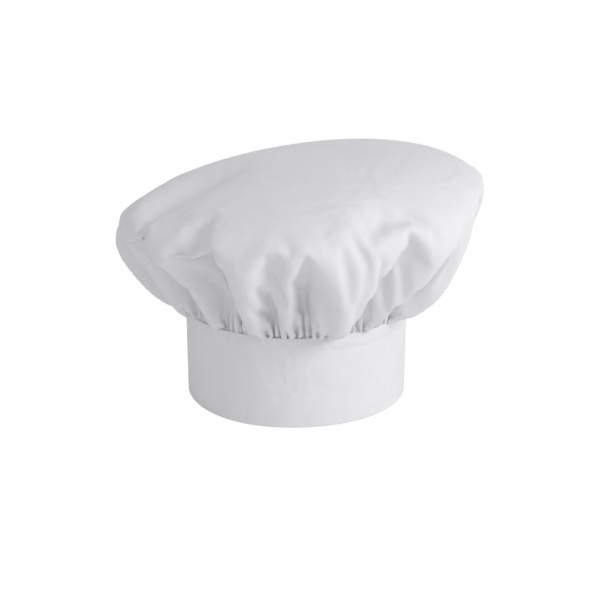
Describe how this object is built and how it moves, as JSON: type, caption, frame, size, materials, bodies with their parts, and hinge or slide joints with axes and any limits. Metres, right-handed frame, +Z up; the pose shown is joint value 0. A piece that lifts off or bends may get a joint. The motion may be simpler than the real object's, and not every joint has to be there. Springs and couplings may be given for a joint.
{
  "type": "chef toque",
  "caption": "Floppy chef's toque: a round of white poplin gathered into a tall folded head band with a hook-and-loop closure at the back.",
  "frame": {"origin": "centre of the head opening, in the plane of the band's lower edge", "axes": "+Z up along the band's axis, -Y the front of the hat, +X the wearer's left; the closure is at the back, on +Y"},
  "size_m": [0.3104, 0.312, 0.2124],
  "materials": {
    "poplin": "white poly-cotton poplin, fine plain weave, matt with a slight sheen",
    "interlining": "off-white non-woven fusible interlining",
    "thread": "white spun polyester sewing thread",
    "hook_tape": "white woven nylon tape with moulded hooks",
    "loop_tape": "white brushed nylon loop tape",
    "label": "white satin-woven care label, blank"
  },
  "bodies": {
    "band": {"band_cloth": "poplin", "band_interlining": "interlining", "band_topstitching": "thread", "lining_stitching": "thread", "crown_gathers": "poplin", "gathering_stitching": "thread", "crown_side": "poplin", "slit_hem": "poplin", "slit_bartack": "thread", "loop_tape": "loop_tape", "loop_tape_stitching": "thread", "care_label": "label", "care_label_stitching": "thread"},
    "tab": {"closure_tab": "poplin", "tab_interlining": "interlining", "tab_topstitching": "thread", "hook_tape": "hook_tape", "hook_tape_stitching": "thread"},
    "crown": {"crown_top": "poplin"}
  },
  "joints": [
    {"name": "tab_hinge", "type": "hinge", "parent": "band", "child": "tab", "pos_m": [0.02182, 0.09452, 0.039], "axis": [0, 0, -1], "range_deg": [0, 95]},
    {"name": "crown_press", "type": "slide", "parent": "band", "child": "crown", "axis": [0, 0, -1], "range_m": [0, 0.065], "deforming": ["crown_side", "slit_hem", "slit_bartack"]}
  ]
}
